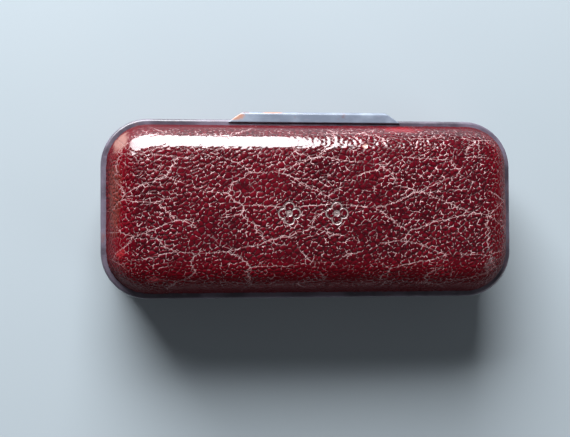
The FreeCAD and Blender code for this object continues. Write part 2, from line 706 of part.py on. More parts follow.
def collar_pieces():
    """The brass collar: a ring on the leather and a sleeve through it."""
    ring = rod(
        "collar_ring",
        "collar_radius",
        "collar_stand",
        ("0", f"{LEATHER_FRONT_Y} - collar_stand", "lock_axis"),
        ALONG_Y,
    )
    sleeve_radius = "( button_radius + stem_clearance + sleeve_wall )"
    sleeve = rod(
        "collar_sleeve", sleeve_radius, "leather_thickness", ("0", LEATHER_FRONT_Y, "lock_axis"), ALONG_Y
    )
    whole = fuse("collar_whole", ring, sleeve)
    bore = rod(
        "collar_bore",
        "button_radius + stem_clearance",
        "3",
        ("0", f"{LEATHER_FRONT_Y} - 1.5", "lock_axis"),
        ALONG_Y,
    )
    doc.recompute()
    bored = cut("collar_bored", whole, bore)
    front = value(f"{LEATHER_FRONT_Y} - collar_stand")
    outer = value("collar_radius")
    rim = lambda edge: abs(edge.BoundBox.YMax - front) < 1e-3 and edge.BoundBox.XLength > 2 * outer - 0.1
    return rounded("button_collar", bored, "collar_stand * 0.6", rim)


def spring_piece():
    """A bowed strip behind the bolt: its ends lie on the case's back, its middle on the bolt."""
    back_y = value(f"{LOCK_BACK_Y} - lock_wall - spring_gap")
    front_y = value(f"{BOLT_BACK_Y} + spring_gap")
    inner_y = front_y + value("spring_thickness")
    half = value("spring_length / 2")
    low = value("lock_axis - spring_height / 2")
    left, right = Vector(-half, back_y, low), Vector(half, back_y, low)
    outer = Part.Arc(left, Vector(0, front_y, low), right).toShape()
    inner = Part.Arc(right, Vector(0, inner_y, low), left).toShape()
    strip = Part.Face(Part.Wire([outer, inner]))
    spring = doc.addObject("Part::Feature", "bolt_spring")
    spring.Shape = strip.extrude(Vector(0, 0, value("spring_height")))
    return spring


# ---------------------------------------------------------------------------------------------------------
# The assembly
# ---------------------------------------------------------------------------------------------------------


def assemble():
    lid_wood, lid_rim_ring = lid_pieces()
    skin, tray, base_rim_ring = base_pieces()

    lid_leaf = hinge_leaf("lid_leaf", 1, 1)
    base_leaf = hinge_leaf("base_leaf", -1, 0)
    lid_brads = node("hinge_brads_lid", hinge_brads("lid_brad", 1))
    base_brads = node("hinge_brads_base", hinge_brads("base_brad", -1))
    pin_start = (f"{HINGE_LEFT} - pin_proud", HINGE_Y, "parting_height")
    node("hinge_pin", rod("hinge_pin", "pin_radius", "hinge_length + 2 * pin_proud", pin_start, ALONG_X))
    node("hinge_spine", hinge_spine())
    room_start = (f"{HINGE_LEFT} - barrel_end_gap", HINGE_Y, "parting_height")
    room_length = "hinge_length + 2 * barrel_end_gap"
    barrel_room = rod("barrel_room", "knuckle_radius + knuckle_clearance", room_length, room_start, ALONG_X)

    node("lock_case", lock_case_piece())
    lock_plate_low = f"( {BASE_RIM_TOP} - plate_thickness )"
    strike_high = f"( {LID_RIM_BOTTOM} + plate_thickness )"
    lock_plate_back = f"( {LOCK_BACK_Y} - plate_margin )"
    base_plate_form = plate("lock_plate_form", lock_plate_back, lock_plate_low, BASE_RIM_TOP)
    strike_form = plate("strike_plate_form", STRIKE_BACK_Y, LID_RIM_BOTTOM, strike_high)
    base_pins = node("lock_plate_pins", plate_pins("lock_pin", f"{BASE_RIM_TOP} - plate_pin_length"))
    lid_pins = node("strike_plate_pins", plate_pins("strike_pin", LID_RIM_BOTTOM))
    hook = node("strike_hook", hook_piece())
    clearance_slot = hook_slot("lock_slot", "hook_side_gap")
    node("lock_plate", cut("lock_plate", base_plate_form, clearance_slot, base_pins))
    node("strike_plate", cut("strike_plate", strike_form, hook, lid_pins))
    node("lock_bolt", bolt_piece())
    node("push_button", button_piece())
    node("button_collar", collar_pieces())
    node("bolt_spring", spring_piece())

    lock_room = mortise()
    stem_start = ("0", f"{LOCK_FRONT_Y} - 1", "lock_axis")
    stem_hole = rod("wood_stem_hole", "stem_radius + stem_hole_gap", "2", stem_start, ALONG_Y)
    cap_start = ("0", f"{LEATHER_FRONT_Y} - 1", "lock_axis")
    cap_depth = "1 + leather_thickness + glue_line"
    cap_radius = "button_radius + stem_clearance + sleeve_wall"
    cap_hole = rod("cap_hole", cap_radius, cap_depth, cap_start, ALONG_Y)
    node("base_leather", cut("base_leather", skin, cap_hole))
    node("base_core", cut("base_core", tray, lock_room, stem_hole, base_brads, base_pins))
    base_fittings = (barrel_room, base_leaf, base_brads, lock_room, base_plate_form, base_pins)
    node("base_rim", cut("base_rim", base_rim_ring, *base_fittings))
    lid_fittings = (barrel_room, lid_leaf, lid_brads, strike_form, hook, lid_pins)
    node("lid_rim", cut("lid_rim", lid_rim_ring, *lid_fittings))
    node("lid_core", cut("lid_core", lid_wood, lid_brads, lid_pins))
    node("hinge_leaf_lid", cut("lid_leaf_pierced", lid_leaf, lid_brads))
    node("hinge_leaf_base", cut("base_leaf_pierced", base_leaf, base_brads))


def check_document():
    """Stops if a feature failed, if a shape is empty or not valid, or if the button can't go all the way in."""
    if value("leather_thickness + glue_line - button_sink - button_travel") <= 0:
        raise RuntimeError("the pressed button meets the wooden wall")
    if value(f"{LOCK_BACK_Y} - lock_wall - {BOLT_BACK_Y} - button_travel - spring_thickness") <= 0:
        raise RuntimeError("the pressed bolt crushes its spring")
    for item in doc.Objects:
        if "Invalid" in item.State or "Error" in item.State:
            raise RuntimeError(f"{item.Name} ({item.Label}) failed: {item.State}")
    for name, item in nodes.items():
        shape = item.Shape
        if shape.isNull() or not shape.isValid() or not shape.Solids:
            raise RuntimeError(f"{name} has no valid solid")


def write_parts():
    os.makedirs("parts", exist_ok=True)
    for name, item in sorted(nodes.items()):
        item.Shape.exportStep(os.path.join("parts", f"{name}.step"))
        box = item.Shape.BoundBox
        print(
            f"{name:20s} solids {len(item.Shape.Solids)}  volume {item.Shape.Volume:8.2f}"
            f"  z {box.ZMin:6.2f} to {box.ZMax:6.2f}"
        )


import Sketcher  # needs a document first when it runs without a window

assemble()
doc.recompute()
check_document()
write_parts()
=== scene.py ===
"""Looks of a small leather-covered jewellery case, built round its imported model.

The lid and the base are covered in glossy burgundy leather with a pebbled grain, raised in the mesh. Two
smooth dark rims meet between them, a leather spine covers the hinge, and a brass button opens the lid. Inside
are two velvet rolls, and a satin pad under the lid. Named sizes and the patterns' places are in millimetres.
Meshes, lights and the camera are in metres.
"""

import math

import bmesh
import bpy
from mathutils import Matrix, Vector


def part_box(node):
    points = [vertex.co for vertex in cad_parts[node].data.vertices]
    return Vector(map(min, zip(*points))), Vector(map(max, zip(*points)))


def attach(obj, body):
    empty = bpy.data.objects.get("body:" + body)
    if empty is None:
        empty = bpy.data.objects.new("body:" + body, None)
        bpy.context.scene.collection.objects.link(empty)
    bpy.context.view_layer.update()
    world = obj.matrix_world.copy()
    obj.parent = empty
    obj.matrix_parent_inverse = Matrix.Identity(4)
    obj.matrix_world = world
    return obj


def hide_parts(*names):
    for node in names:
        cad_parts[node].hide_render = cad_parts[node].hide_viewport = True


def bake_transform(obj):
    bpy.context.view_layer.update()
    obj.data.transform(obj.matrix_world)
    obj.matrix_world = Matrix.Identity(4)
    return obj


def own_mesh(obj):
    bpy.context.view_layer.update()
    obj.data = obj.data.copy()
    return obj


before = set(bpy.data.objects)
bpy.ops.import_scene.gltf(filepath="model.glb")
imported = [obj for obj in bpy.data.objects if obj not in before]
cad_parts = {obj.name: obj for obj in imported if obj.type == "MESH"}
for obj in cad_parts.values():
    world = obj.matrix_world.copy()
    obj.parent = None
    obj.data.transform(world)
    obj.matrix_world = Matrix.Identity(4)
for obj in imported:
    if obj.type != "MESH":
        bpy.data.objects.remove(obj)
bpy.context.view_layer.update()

MM = 0.001
scene = bpy.context.scene


# ---------------------------------------------------------------------------------------------------------
# Node arithmetic
# ---------------------------------------------------------------------------------------------------------


class Value:
    """An output of a node. Arithmetic on it adds Math nodes to its graph."""

    def __init__(self, graph, socket):
        self.graph, self.socket = graph, socket

    def __add__(self, other):
        return self.graph.maths("ADD", self, other)

    def __sub__(self, other):
        return self.graph.maths("SUBTRACT", self, other)

    def __rsub__(self, other):
        return self.graph.maths("SUBTRACT", other, self)

    def __mul__(self, other):
        return self.graph.maths("MULTIPLY", self, other)

    def __truediv__(self, other):
        return self.graph.maths("DIVIDE", self, other)

    def __pow__(self, other):
        return self.graph.maths("POWER", self, other)

    __radd__ = __add__
    __rmul__ = __mul__


class Graph:
    """The nodes of a material or of a geometry modifier."""

    def __init__(self, tree):
        self.tree = tree

    def node(self, kind, settings=None, output=0, **inputs):
        """Adds a node: its settings first, then its sockets. in_3 names the socket at place 3."""
        made = self.tree.nodes.new(kind)
        for name, setting in (settings or {}).items():
            setattr(made, name, setting)
        for name, given in inputs.items():
            place = int(name[3:]) if name.startswith("in_") else name.replace("_", " ")
            socket = made.inputs[place]
            if isinstance(given, Value):
                self.tree.links.new(given.socket, socket)
            else:
                socket.default_value = given
        return Value(self, made.outputs[output]) if made.outputs else None

    def maths(self, operation, first, second=0.0):
        return self.node("ShaderNodeMath", {"operation": operation}, in_0=first, in_1=second)

    def size(self, value):
        """A value without its sign."""
        return self.maths("ABSOLUTE", value)

    def least(self, first, second):
        return self.maths("MINIMUM", first, second)

    def most(self, first, second):
        return self.maths("MAXIMUM", first, second)

    def ramp(self, value, low, high, out_low=0.0, out_high=1.0):
        """A smooth step of value between low and high."""
        settings = {"interpolation_type": "SMOOTHSTEP"}
        return self.node(
            "ShaderNodeMapRange", settings, in_0=value, in_1=low, in_2=high, in_3=out_low, in_4=out_high
        )

    def vector(self, operation, first, second=(0.0, 0.0, 0.0), scale=1.0, output=0):
        settings = {"operation": operation}
        return self.node("ShaderNodeVectorMath", settings, output, in_0=first, in_1=second, in_3=scale)

    def along(self, vector):
        """The x, y and z of a vector."""
        made = self.node("ShaderNodeSeparateXYZ", in_0=vector)
        outputs = made.socket.node.outputs
        return [Value(self, outputs[index]) for index in range(3)]

    def noise(self, place, pitch, detail=2.0, roughness=0.5, output=0):
        """Cloudy noise, its lumps about a pitch across."""
        inputs = {"Vector": place, "Scale": 1.0 / pitch, "Detail": detail, "Roughness": roughness}
        return self.node("ShaderNodeTexNoise", None, output, **inputs)

    def cells(self, place, pitch, dimensions="3D"):
        """How far a place is from its cell's edge, in cell widths. The cells are about a pitch across."""
        settings = {"feature": "DISTANCE_TO_EDGE", "voronoi_dimensions": dimensions}
        return self.node("ShaderNodeTexVoronoi", settings, Vector=place, Scale=1.0 / pitch)

    def warped(self, place, pitch, reach, detail=1.0):
        """The place pushed about by noise, by up to a reach."""
        cloud = self.noise(place, pitch, detail, output=1)
        push = self.vector("SUBTRACT", cloud, (0.5, 0.5, 0.5))
        return self.vector("ADD", place, self.vector("SCALE", push, scale=2.0 * reach))

    def blend(self, share, first, second):
        """A mix of two colours, with a share of the second."""
        return self.node("ShaderNodeMix", {"data_type": "RGBA"}, 2, in_0=share, in_6=first, in_7=second)


def paint(red, green, blue):
    """A linear colour from the three display values, each from 0 to 255."""

    def linear(shown):
        return ((shown / 255 + 0.055) / 1.055) ** 2.4 if shown > 10 else shown / 3294

    return linear(red), linear(green), linear(blue), 1.0


# ---------------------------------------------------------------------------------------------------------
# Leather grain, shared by the mesh and the material
# ---------------------------------------------------------------------------------------------------------

# The pebbles' pitch and height, and the width of a pebble's rounded flank in cell widths.
PEBBLE_PITCH = 0.95
PEBBLE_HEIGHT = 0.12
PEBBLE_FLANK = 0.42
# How far the pebbles are turned on the hide, in radians, and their pattern's scale along the rows: under 1
# draws them out.
HIDE_LEAN = -0.6
PEBBLE_DRAW = 0.8
# The long veins' pitch and depth, and their pattern's scale along the case.
VEIN_PITCH = 5.6
VEIN_DEPTH = 0.07
VEIN_DRAW = 0.4

# The two blind-tooled quatrefoils on the lid: their centres, the petals' radius and offset, the radius of the
# ring in the middle, and the tooled line's width and depth.
STAMPS = ((-5.3, -1.2), (4.2, -1.2))
PETAL_RADIUS = 0.98
PETAL_OFFSET = 1.2
RING_RADIUS = 0.5
STAMP_LINE = 0.2
STAMP_DEPTH = 0.12
# How far round a centre a stamp presses the grain down, and how much further the mesh is fine.
STAMP_REACH = 2.8
STAMP_MARGIN = 0.1


def stamp_line(graph, place):
    """Two masks: 1 on the tooled lines of the quatrefoils, and 1 on and round each whole stamp."""
    across, up = graph.along(place)[:2]
    lines, nearness = 0.0, 0.0
    for centre_x, centre_y in STAMPS:
        dx = graph.size(across - centre_x)
        dy = graph.size(up - centre_y)
        far, near = graph.most(dx, dy), graph.least(dx, dy)
        petal = graph.maths("SQRT", (far - PETAL_OFFSET) ** 2.0 + near * near)
        outline = graph.size(petal - PETAL_RADIUS)
        reach = graph.maths("SQRT", dx * dx + dy * dy)
        ring = graph.size(reach - RING_RADIUS)
        edge = graph.least(outline, ring)
        lines = lines + graph.ramp(edge, STAMP_LINE * 0.5, STAMP_LINE, 1.0, 0.0)
        nearness = nearness + graph.ramp(reach, STAMP_REACH * 0.7, STAMP_REACH, 1.0, 0.0)
    return graph.least(lines, 1.0), nearness


def grain(graph, place, hide, stamped):
    """The relief of the leather in millimetres, with the masks that its colours follow.

    place is in the case's frame, and hide is the same point on the leather before it was stretched on.
    """
    wandering = graph.warped(graph.warped(hide, 2.6, 0.5, 1.0), 0.8, 0.2, 1.0)
    leaning = graph.node("ShaderNodeVectorRotate", None, Vector=wandering, Angle=HIDE_LEAN)
    leaning = graph.vector("MULTIPLY", leaning, (PEBBLE_DRAW, 1.0, 1.0))
    edge = graph.cells(leaning, PEBBLE_PITCH, dimensions="2D")
    swell = graph.noise(place, 7.0, 2.0)
    joined = graph.ramp(graph.noise(place, 1.7, 1.0), 0.36, 0.52, 0.35, 1.0)
    slope = 1.0 - graph.least(edge / PEBBLE_FLANK, 1.0)
    pebble = 1.0 - slope * slope * joined
    strength = graph.ramp(swell, 0.35, 0.68, 0.55, 1.15)
    if stamped:
        # The lid's grain is rubbed flatter along the left half of its back edge.
        across, up = graph.along(place)[:2]
        flattened = graph.ramp(up, 10.0, 13.0) * graph.ramp(across, -8.0, 14.0, 1.0, 0.0)
        strength = strength * (1.0 - flattened * 0.8)

    stretched = graph.vector("MULTIPLY", hide, (VEIN_DRAW, 1.0, 1.0))
    drifting = graph.warped(graph.warped(stretched, 6.0, 1.6, 1.0), 0.9, 0.3, 2.0)
    vein_edge = graph.cells(drifting, VEIN_PITCH, dimensions="2D")
    vein_keep = graph.ramp(graph.noise(place, 6.5, 1.0), 0.40, 0.50)
    vein = graph.ramp(vein_edge, 0.003, 0.012, 1.0, 0.0) * vein_keep
    vein_zone = graph.ramp(vein_edge, 0.015, 0.05, 1.0, 0.0) * vein_keep

    rise = pebble * strength
    height = rise * PEBBLE_HEIGHT - vein * VEIN_DEPTH
    lines, nearness = 0.0, 0.0
    if stamped:
        lines, nearness = stamp_line(graph, place)
        height = height * (1.0 - nearness * 0.55) - lines * STAMP_DEPTH
    return {
        "height": height,
        "edge": edge,
        "rise": rise,
        "vein": vein,
        "vein_zone": vein_zone,
        "swell": swell,
        "lines": lines,
        "nearness": nearness,
    }


# ---------------------------------------------------------------------------------------------------------
# Mesh helpers
# ---------------------------------------------------------------------------------------------------------

# Points nearer to each other than this are one point, in metres.
SAME_PLACE = 1e-6


def dress(mesh, finish):
    """Gives a mesh one finish all over."""
    mesh.materials.clear()
    mesh.materials.append(finish)


def finished(name, bm, finish=None):
    """A piece from a bmesh, which is used up."""
    mesh = bpy.data.meshes.new(name)
    bm.to_mesh(mesh)
    bm.free()
    if finish:
        dress(mesh, finish)
    piece = bpy.data.objects.new(name, mesh)
    scene.collection.objects.link(piece)
    return piece


def applied(piece):
    """The piece with its modifiers made part of its mesh."""
    bpy.context.view_layer.update()
    evaluated = piece.evaluated_get(bpy.context.evaluated_depsgraph_get())
    made = bpy.data.meshes.new_from_object(evaluated)
    piece.modifiers.clear()
    old = piece.data
    piece.data = made
    bpy.data.meshes.remove(old)
    return piece


def edit(piece, change):
    """Runs a change on the piece's bmesh and writes it back."""
    bm = bmesh.new()
    bm.from_mesh(piece.data)
    change(bm)
    bm.normal_update()
    bm.to_mesh(piece.data)
    bm.free()


def form_of(node):
    """A bmesh of a CAD node, its loose triangles joined."""
    bm = bmesh.new()
    bm.from_mesh(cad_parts[node].data)
    bmesh.ops.remove_doubles(bm, verts=bm.verts, dist=SAME_PLACE)
    return bm


def hull_of(name, node):
    """A closed piece with the outer form of a convex node."""
    bm = form_of(node)
    wrapped = bmesh.ops.convex_hull(bm, input=bm.verts)
    left_over = dict.fromkeys(wrapped["geom_interior"] + wrapped["geom_unused"])
    spare = [v for v in left_over if isinstance(v, bmesh.types.BMVert) and v.is_valid]
    bmesh.ops.delete(bm, geom=spare, context="VERTS")
    hull_faces = {f for f in wrapped["geom"] if isinstance(f, bmesh.types.BMFace) and f.is_valid}
    bmesh.ops.delete(bm, geom=[f for f in bm.faces if f not in hull_faces], context="FACES")
    loose = [v for v in bm.verts if not v.link_faces]
    bmesh.ops.delete(bm, geom=loose, context="VERTS")
    bmesh.ops.recalc_face_normals(bm, faces=bm.faces)
    return finished(name, bm)


def even_mesh(piece, voxel):
    """Remeshes the piece into even squares a voxel across."""
    remesh = piece.modifiers.new("even", "REMESH")
    remesh.mode = "VOXEL"
    remesh.voxel_size = voxel * MM
    return applied(piece)


def shade_smooth(piece):
    for polygon in piece.data.polygons:
        polygon.use_smooth = True


def raise_grain(piece, stamped):
    """Moves the surface out by the leather's relief."""
    tree = bpy.data.node_groups.new("raise_grain", "GeometryNodeTree")
    tree.interface.new_socket("Mesh", in_out="INPUT", socket_type="NodeSocketGeometry")
    tree.interface.new_socket("Mesh", in_out="OUTPUT", socket_type="NodeSocketGeometry")
    graph = Graph(tree)
    mesh_in = graph.node("NodeGroupInput")
    place = graph.vector("SCALE", graph.node("GeometryNodeInputPosition"), scale=1.0 / MM)
    hide = graph.node("GeometryNodeInputNamedAttribute", {"data_type": "FLOAT_VECTOR"}, Name="hide")
    relief = grain(graph, place, hide, stamped)["height"]
    outward = graph.node("GeometryNodeInputNormal")
    offset = graph.vector("SCALE", outward, scale=relief * MM)
    moved = graph.node("GeometryNodeSetPosition", Geometry=mesh_in, Offset=offset)
    graph.node("NodeGroupOutput", in_0=moved)
    piece.modifiers.new("grain", "NODES").node_group = tree
    applied(piece)


# ---------------------------------------------------------------------------------------------------------
# Materials
# ---------------------------------------------------------------------------------------------------------


def material(name):
    """A new material, its graph, its shader and the place on the piece in millimetres."""
    made = bpy.data.materials.new(name)
    made.use_nodes = True
    made.node_tree.nodes.clear()
    graph = Graph(made.node_tree)
    place = graph.vector("SCALE", graph.node("ShaderNodeTexCoord", None, "Object"), scale=1.0 / MM)
    return made, graph, place


def surface(graph, colour, roughness, bump=None, depth=0.05, metallic=0.0, coat=0.0, **constants):
    """Ends a material in one Principled shader. bump is a height from 0 to 1, worth depth millimetres."""
    inputs = {"Base_Color": colour, "Roughness": roughness, "Metallic": metallic, "Coat_Weight": coat}
    if bump is not None:
        inputs["Normal"] = graph.node("ShaderNodeBump", Height=bump, Distance=depth * MM, Strength=1.0)
    shader = graph.node("ShaderNodeBsdfPrincipled", **inputs)
    for name, number in constants.items():
        shader.socket.node.inputs[name.replace("_", " ")].default_value = number
    graph.node("ShaderNodeOutputMaterial", in_0=shader)


# Marks on the lid's leather: centre, half sizes, colour, and how much of the colour shows.
WEAR_AND_SHEEN_PLACES = (
    # Rubbed pale at the back left corner, partly a painted highlight where the back shoulder's sheen runs
    # round the corner, and stained brown along the left end.
    ((-38.6, 13.4, 20.0), (2.0, 2.6, 3.2), paint(142, 104, 96), 0.75),
    ((-39.4, 2.0, 20.5), (1.9, 8.5, 3.4), paint(92, 44, 34), 0.55),
    # Scuffed at the front left corner, beside it along the front, and along the right end.
    ((-38.3, -9.0, 20.5), (1.1, 1.3, 3.0), paint(150, 40, 44), 0.6),
    ((-31.8, -14.2, 20.5), (1.7, 0.7, 3.0), paint(165, 66, 72), 0.55),
    ((40.4, -1.0, 19.0), (0.9, 3.8, 3.0), paint(150, 34, 34), 0.6),
    # Faded along the back, and a small nick.
    ((18.5, 15.8, 19.5), (4.6, 1.2, 2.8), paint(140, 18, 30), 0.5),
    ((10.2, 12.2, 23.0), (0.75, 0.6, 1.6), paint(225, 180, 165), 1.0),
)

# The leather is dull below the first height and glossy above the second, and below the first it is painted a
# flat dark red as painted shade.
POLISH_START, POLISH_FULL = 18.6, 22.0
# Handling has dulled the gloss towards the front and the two ends: where that begins, and where it is full.
DULL_FRONT = (-8.5, -14.5)
DULL_ENDS = (34.0, 39.5)


def grained_leather(name, stamped):
    made, graph, place = material(name)
    hide = graph.node("ShaderNodeAttribute", {"attribute_name": "hide"}, "Vector")
    relief = grain(graph, place, hide, stamped)
    across, up, height = graph.along(place)

    tone = graph.ramp(graph.noise(place, 14.0, 3.0), 0.3, 0.72)
    colour = graph.blend(tone, paint(52, 0, 8), paint(84, 2, 16))
    speck = graph.ramp(graph.noise(place, 0.9, 2.0), 0.35, 0.7)
    colour = graph.blend(speck * 0.5, colour, paint(104, 6, 22))

    # Painted shade: the crevices between the pebbles are darkened.
    crevice_shade = graph.ramp(relief["edge"], 0.0, 0.2, 0.75, 0.0)
    colour = graph.blend(crevice_shade, colour, paint(26, 0, 4))
    # The pale lines in the creases and veins are partly pale wear in the crevices and partly painted glints,
    # highlights on the pebbles' edges; they show more where the leather is glossy.
    broken = graph.ramp(graph.noise(place, 0.6, 1.0, 0.6), 0.52, 0.60)
    region = graph.ramp(relief["swell"], 0.34, 0.58, 0.35, 1.0)
    shown = graph.most(broken * region, relief["vein_zone"])
    crease_wear_and_glints = graph.ramp(relief["edge"], 0.02, 0.08, 1.0, 0.0) * shown
    polish = graph.ramp(height, POLISH_START, POLISH_FULL)
    handled = graph.ramp(up, *DULL_FRONT) + graph.ramp(graph.size(across), *DULL_ENDS)
    handled = graph.least(handled, 1.0)
    colour = graph.blend(handled * 0.6, colour, paint(104, 3, 16))
    crease_wear_and_glints = crease_wear_and_glints * (0.3 + polish * 0.7) * (1.0 - handled * 0.4)
    # The pale lines: pale crease wear and painted glints.
    pale_lines_wear_and_glints = graph.most(crease_wear_and_glints * 0.8, relief["vein"] * 0.4)
    colour = graph.blend(pale_lines_wear_and_glints, colour, paint(222, 184, 184))
    # Painted shade: towards the rim the walls are painted a flat dark red, without the pale lines.
    colour = graph.blend((1.0 - polish) * 0.7, colour, paint(70, 0, 9))
    if stamped:
        colour = graph.blend(relief["lines"] * 0.8, colour, paint(146, 130, 128))

    # The marks are wear and stains, and the pale patch at the back left corner is partly a painted highlight.
    wear_and_sheen = 0.0
    for centre, size, spot_colour, share in WEAR_AND_SHEEN_PLACES if stamped else ():
        offset = graph.vector("DIVIDE", graph.vector("SUBTRACT", place, centre), size)
        ragged = graph.noise(place, 1.6, 3.0, 0.65) * 1.3
        distance = graph.vector("LENGTH", offset, output=1) + ragged - 0.65
        mask = graph.ramp(distance, 0.55, 1.15, share, 0.0)
        colour = graph.blend(mask, colour, spot_colour)
        wear_and_sheen = graph.most(mask, wear_and_sheen)

    gloss = polish * (1.0 - handled * 0.85)
    pores = graph.noise(place, 0.16, 2.0)
    fine = relief["rise"] * 0.8 + pores * 0.08 - relief["vein"] * 0.4
    if stamped:
        fine = fine * (1.0 - relief["nearness"] * 0.5) - relief["lines"] * 0.8
    roughness = graph.ramp(relief["edge"], 0.02, 0.2, 0.34, 0.2) + wear_and_sheen * 0.15 + pores * 0.05
    roughness = roughness + (1.0 - polish) * 0.25
    varnish = {"Coat_Roughness": 0.10, "Coat_IOR": 1.6, "Specular_IOR_Level": 0.08}
    surface(graph, colour, roughness, fine, 0.15, coat=gloss * 0.9, **varnish)
    return made


# Places on the spine rubbed through to the tan: centre, half sizes and share.
SPINE_WEAR = (
    ((-15.4, 18.9, 16.4), (2.2, 1.0, 1.6), 0.9),
    ((-7.5, 19.7, 16.2), (2.6, 0.22, 0.9), 0.8),
)


def smooth_leather(name, dark, light, wear=1.0, spots=()):
    """Dark polished leather of the rims and the spine, rubbed brown on its corners."""
    made, graph, place = material(name)
    cloud = graph.noise(place, 5.0, 3.0)
    colour = graph.blend(graph.ramp(cloud, 0.35, 0.7), dark, light)
    streak = graph.node("ShaderNodeMapping", None, Vector=place, Scale=(0.35, 1.6, 4.0))
    scratches = graph.ramp(graph.noise(streak, 0.7, 4.0, 0.7), 0.56, 0.74)
    colour = graph.blend(scratches * 0.3, colour, paint(140, 134, 148))
    rubbed = graph.ramp(graph.noise(place, 3.4, 3.0, 0.6), 0.60, 0.74) * (0.5 * wear)
    colour = graph.blend(rubbed, colour, paint(112, 60, 48))
    for centre, size, share in spots:
        offset = graph.vector("DIVIDE", graph.vector("SUBTRACT", place, centre), size)
        distance = graph.vector("LENGTH", offset, output=1) + graph.noise(place, 0.9, 3.0, 0.65)
        colour = graph.blend(graph.ramp(distance, 1.0, 1.6, share, 0.0), colour, paint(170, 120, 96))
    fibres = graph.noise(place, 0.22, 3.0, 0.6)
    lumps = graph.noise(place, 1.8, 2.0)
    roughness = graph.ramp(cloud, 0.3, 0.7, 0.30, 0.44)
    surface(graph, colour, roughness, fibres * 0.4 + lumps * 0.6, 0.05, coat=0.3, Coat_Roughness=0.2)
    return made


def brass(name):
    made, graph, place = material(name)
    cloud = graph.noise(place, 1.8, 3.0, 0.6)
    colour = graph.blend(graph.ramp(cloud, 0.35, 0.72), paint(214, 172, 98), paint(150, 108, 56))
    turned = {"Rotation": (0.3, 0.5, 0.8), "Scale": (0.5, 6.0, 3.0)}
    lines = graph.noise(graph.node("ShaderNodeMapping", None, Vector=place, **turned), 0.35, 3.0, 0.7)
    roughness = graph.ramp(cloud, 0.3, 0.75, 0.18, 0.42) + lines * 0.08
    surface(graph, colour, roughness, lines, 0.006, metallic=1.0)
    return made


def tarnished_steel(name):
    made, graph, place = material(name)
    cloud = graph.noise(place, 1.2, 3.0)
    colour = graph.blend(cloud, paint(92, 98, 120), paint(60, 62, 76))
    surface(graph, colour, graph.ramp(cloud, 0.3, 0.7, 0.25, 0.4), cloud, 0.004, metallic=1.0)
    return made


def velvet(name):
    made, graph, place = material(name)
    nap = graph.noise(place, 0.25, 2.0, 0.7)
    brushed = graph.noise(graph.warped(place, 8.0, 2.0), 6.0, 2.0)
    colour = graph.blend(graph.ramp(brushed, 0.35, 0.68), paint(16, 22, 70), paint(38, 50, 122))
    colour = graph.blend(nap * 0.5, colour, paint(10, 13, 46))
    roughness = graph.ramp(nap, 0.3, 0.7, 0.75, 0.95)
    pile = {"Sheen_Weight": 0.8, "Sheen_Roughness": 0.35, "Specular_IOR_Level": 0.15}
    surface(graph, colour, roughness, nap, 0.12, **pile)
    return made


def satin(name):
    made, graph, place = material(name)
    cloud = graph.noise(place, 12.0, 2.0)
    colour = graph.blend(graph.ramp(cloud, 0.3, 0.7), paint(226, 212, 184), paint(240, 230, 208))
    weave = graph.node("ShaderNodeMapping", None, Vector=place, Scale=(9.0, 1.2, 1.2))
    threads = graph.noise(weave, 0.7, 2.0, 0.6)
    foxing = graph.ramp(graph.noise(place, 2.4, 3.0, 0.6), 0.66, 0.76) * 0.35
    colour = graph.blend(foxing, colour, paint(190, 158, 110))
    roughness = graph.ramp(threads, 0.3, 0.7, 0.3, 0.42)
    surface(graph, colour, roughness, threads, 0.02, Sheen_Weight=0.15, Anisotropic=0.4)
    return made


def wood(name):
    made, graph, place = material(name)
    along = graph.node("ShaderNodeMapping", None, Vector=place, Scale=(0.08, 1.0, 1.0))
    rings = graph.noise(along, 0.8, 4.0, 0.65)
    colour = graph.blend(graph.ramp(rings, 0.35, 0.68), paint(150, 112, 70), paint(190, 152, 104))
    surface(graph, colour, graph.ramp(rings, 0.3, 0.7, 0.55, 0.7), rings, 0.02)
    return made


def pasted_paper(name):
    """Dark embossed paper on the underside."""
    made, graph, place = material(name)
    cells = graph.cells(place, 0.55)
    cloud = graph.noise(place, 9.0, 4.0, 0.6)
    colour = graph.blend(graph.ramp(cloud, 0.4, 0.68), paint(38, 12, 20), paint(64, 30, 34))
    rubbed = graph.ramp(graph.noise(place, 2.8, 4.0, 0.7), 0.60, 0.72) * 0.4
    colour = graph.blend(rubbed, colour, paint(120, 96, 82))
    surface(graph, colour, graph.ramp(cloud, 0.3, 0.7, 0.5, 0.65), graph.ramp(cells, 0.0, 0.2), 0.03)
    return made


def board(name):
    made, graph, place = material(name)
    fibre = graph.noise(place, 0.4, 4.0, 0.7)
    colour = graph.blend(fibre, paint(168, 146, 106), paint(140, 118, 84))
    surface(graph, colour, graph.ramp(fibre, 0.3, 0.7, 0.75, 0.9), fibre, 0.03)
    return made


lid_leather = grained_leather("lid_grained_leather", True)
base_leather = grained_leather("base_grained_leather", False)
rim_leather = smooth_leather("rim_leather", paint(66, 58, 68), paint(98, 88, 102))
# The spine's pale blue-grey is partly the leather's own colour and partly painted reflection: its colour is
# lightened to stand for the sheen it catches.
spine_leather_and_sheen = smooth_leather("spine_leather_and_sheen", paint(104, 112, 126), paint(134, 144, 158), 1.4, SPINE_WEAR)
brass_metal = brass("brass")
steel = tarnished_steel("spring_steel")
blue_velvet = velvet("blue_velvet")
ivory_satin = satin("ivory_satin")
tray_wood = wood("tray_wood")
under_paper = pasted_paper("under_paper")
straw_board = board("straw_board")

